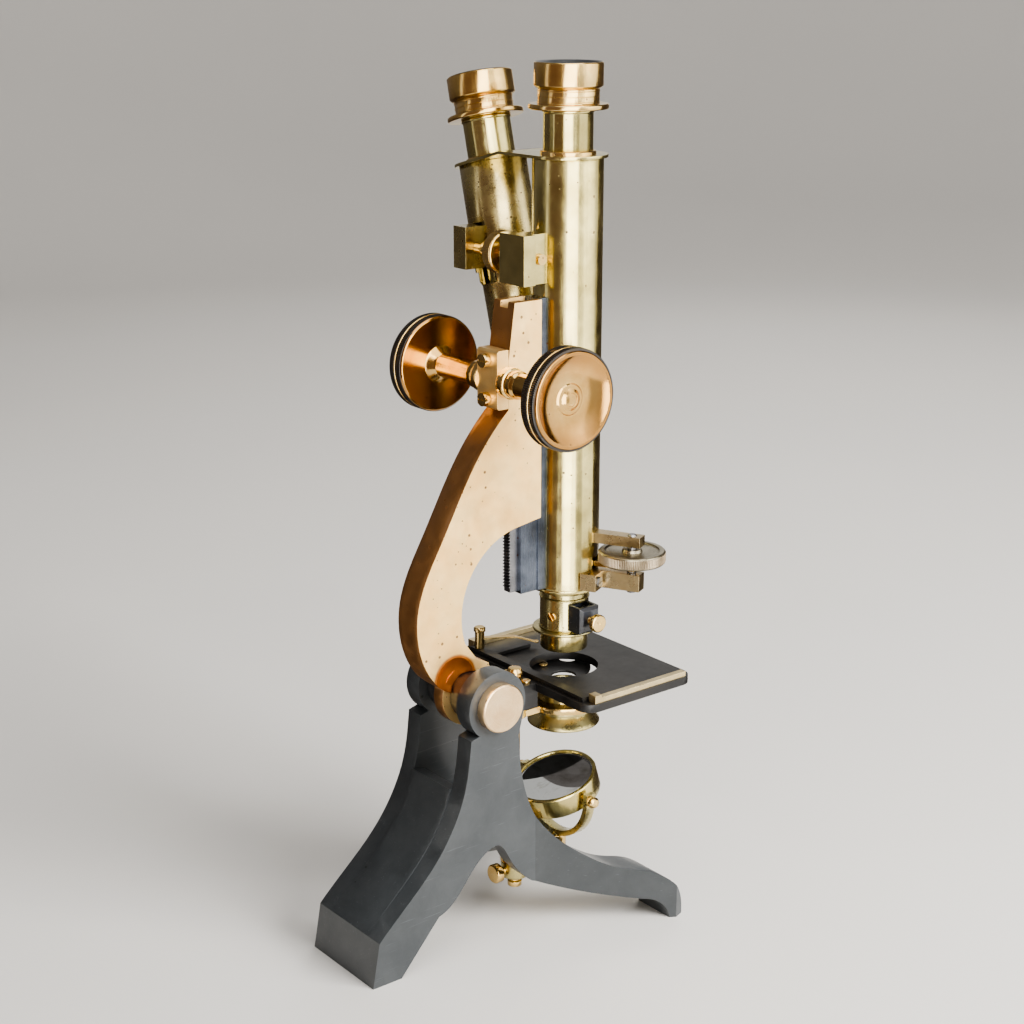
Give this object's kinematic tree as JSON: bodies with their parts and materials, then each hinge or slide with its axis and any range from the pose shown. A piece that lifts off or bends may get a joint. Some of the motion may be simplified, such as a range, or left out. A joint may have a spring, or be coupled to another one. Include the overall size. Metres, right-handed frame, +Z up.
{
  "type": "binocular microscope",
  "caption": "Antique brass binocular compound microscope: inclining limb on a black cast-iron foot, rack focus, prism nosepiece, square stage, condenser and swinging mirror.",
  "frame": {"origin": "centre of the whole part's bounding box in plan, at the table that the foot stands on", "axes": "+Z up along the straight body tube, +X from the limb to the front of the stage, +Y to the observer's left"},
  "size_m": [0.175, 0.1438, 0.411],
  "materials": {
    "foot_enamel": "satin",
    "black_lacquer": "satin",
    "lacquered_brass": "polished",
    "gilt_brass": "polished",
    "pale_brass": "satin",
    "steel": "satin",
    "blued_steel": "satin",
    "glass": "gloss",
    "mirror": "gloss"
  },
  "bodies": {
    "foot": {"foot_casting": "foot_enamel", "trunnion_screws": "gilt_brass"},
    "limb": {"limb_arm": "pale_brass", "trunnion_bosses": "black_lacquer", "pinion_cap": "pale_brass", "pinion_cap_screws": "gilt_brass", "pinion_bushes": "lacquered_brass", "stage_bracket": "black_lacquer", "stage_plate": "black_lacquer", "stage_screws": "gilt_brass", "stage_rails": "pale_brass", "tail_rod": "gilt_brass", "substage_ring": "gilt_brass"},
    "coarse_drive": {"coarse_pinion": "steel", "coarse_knob_right": "gilt_brass", "coarse_knob_left": "gilt_brass"},
    "body_tube": {"main_tube": "lacquered_brass", "side_tube": "lacquered_brass", "side_tube_cone": "lacquered_brass", "top_plate": "lacquered_brass", "tube_bushes": "gilt_brass", "nose_bush": "lacquered_brass", "tube_slide": "blued_steel", "tube_rack": "steel", "draw_pinion_housing_right": "lacquered_brass", "draw_pinion_housing_left": "lacquered_brass", "fine_upper_arm": "gilt_brass", "fine_lower_arm": "gilt_brass", "fine_arm_screw": "blued_steel"},
    "draw_drive": {"draw_pinion_shaft": "steel", "draw_pinion_knob": "gilt_brass"},
    "right_draw": {"right_draw_tube": "gilt_brass"},
    "left_draw": {"left_draw_tube": "gilt_brass"},
    "right_eyepiece": {"right_eyepiece_barrel": "gilt_brass", "right_eye_cap": "gilt_brass", "right_eyepiece_lenses": "glass"},
    "left_eyepiece": {"left_eyepiece_barrel": "gilt_brass", "left_eye_cap": "gilt_brass", "left_eyepiece_lenses": "glass"},
    "fine_drive": {"fine_focus_wheel": "gilt_brass", "fine_focus_spindle": "steel"},
    "nosepiece_slide": {"nosepiece": "lacquered_brass", "nose_ring": "gilt_brass", "fine_focus_lever": "gilt_brass"},
    "prism": {"prism_box": "black_lacquer", "wenham_prism": "glass", "prism_knob": "gilt_brass"},
    "carrier": {"slide_carrier": "black_lacquer"},
    "clip": {"stage_clip": "gilt_brass"},
    "stops": {"diaphragm_wheel": "black_lacquer"},
    "condenser": {"condenser_mount": "lacquered_brass", "condenser_lenses": "glass"},
    "mirror_slide": {"mirror_collar": "gilt_brass", "collar_clamp_screw": "gilt_brass"},
    "mirror_swing": {"mirror_arm": "gilt_brass"},
    "mirror_swivel": {"mirror_fork": "gilt_brass", "mirror_pivot_screws": "gilt_brass"},
    "mirror_tilt": {"mirror_cell": "lacquered_brass", "concave_mirror": "mirror", "plane_mirror": "mirror"}
  },
  "joints": [
    {"name": "limb_inclination", "type": "hinge", "parent": "foot", "child": "limb", "pos_m": [-0.0145, -0.00995, 0.122], "axis": [0, -1, 0], "range_deg": [0, 90]},
    {"name": "coarse_focus", "type": "slide", "parent": "limb", "child": "body_tube", "axis": [0, 0, 1], "range_m": [-0.004, 0.06]},
    {"name": "coarse_pinion_turn", "type": "hinge", "parent": "limb", "child": "coarse_drive", "pos_m": [0.0055, -0.00995, 0.27], "axis": [0, 1, 0], "range_deg": [-724.74, 49.25]},
    {"name": "right_draw", "type": "slide", "parent": "body_tube", "child": "right_draw", "axis": [0, 0, 1], "range_m": [0, 0.03]},
    {"name": "left_draw", "type": "slide", "parent": "body_tube", "child": "left_draw", "axis": [0, 0.2504, 0.9681], "range_m": [0, 0.0312]},
    {"name": "draw_pinion_turn", "type": "hinge", "parent": "body_tube", "child": "draw_drive", "pos_m": [0.026, -0.00995, 0.324], "axis": [0, 1, 0], "range_deg": [-364, 2]},
    {"name": "right_eyepiece_pull", "type": "slide", "parent": "right_draw", "child": "right_eyepiece", "axis": [0, 0, 1], "range_m": [0, 0.035]},
    {"name": "left_eyepiece_pull", "type": "slide", "parent": "left_draw", "child": "left_eyepiece", "axis": [0, 0.2504, 0.9681], "range_m": [0, 0.035]},
    {"name": "fine_focus", "type": "slide", "parent": "body_tube", "child": "nosepiece_slide", "axis": [0, 0, 1], "range_m": [-0.0008, 0.0008]},
    {"name": "fine_focus_turn", "type": "hinge", "parent": "body_tube", "child": "fine_drive", "pos_m": [0.0625, -0.04095, 0], "axis": [0, 0, 1], "range_deg": [-600, 600]},
    {"name": "prism_slide", "type": "slide", "parent": "nosepiece_slide", "child": "prism", "axis": [0, 1, 0], "range_m": [0, 0.007]},
    {"name": "slide_carrier_move", "type": "slide", "parent": "limb", "child": "carrier", "axis": [1, 0, 0], "range_m": [0, 0.01]},
    {"name": "clip_swing", "type": "hinge", "parent": "carrier", "child": "clip", "pos_m": [0.024, 0.02906, 0.1205], "axis": [0, 0, 1], "range_deg": [-40, 32]},
    {"name": "stop_wheel_turn", "type": "hinge", "parent": "limb", "child": "stops", "pos_m": [0.0465, 0.00636, 0.112], "axis": [0, 0, 1], "continuous": true},
    {"name": "condenser_slide", "type": "slide", "parent": "limb", "child": "condenser", "axis": [0, 0, 1], "range_m": [-0.004, 0.001]},
    {"name": "mirror_height", "type": "slide", "parent": "limb", "child": "mirror_slide", "axis": [0, 0, 1], "range_m": [-0.002, 0.006]},
    {"name": "mirror_arm_swing", "type": "hinge", "parent": "mirror_slide", "child": "mirror_swing", "pos_m": [0.0155, -0.00995, 0.024], "axis": [0, 0, 1], "range_deg": [-12, 12]},
    {"name": "mirror_swivel_turn", "type": "hinge", "parent": "mirror_swing", "child": "mirror_swivel", "pos_m": [0.0425, -0.00995, 0.024], "axis": [0, 0, 1], "range_deg": [-50, 50]},
    {"name": "mirror_tilt_turn", "type": "hinge", "parent": "mirror_swivel", "child": "mirror_tilt", "pos_m": [0.0425, -0.00995, 0.057], "axis": [0, 1, 0], "continuous": true}
  ],
  "couplings": [
    {"joint": "coarse_pinion_turn", "follows": "coarse_focus", "rad_per_m": -210.53},
    {"joint": "left_draw", "follows": "right_draw", "ratio": 1.0329},
    {"joint": "draw_pinion_turn", "follows": "right_draw", "rad_per_m": -210.53},
    {"joint": "fine_focus_turn", "follows": "fine_focus", "rad_per_m": 12566}
  ]
}
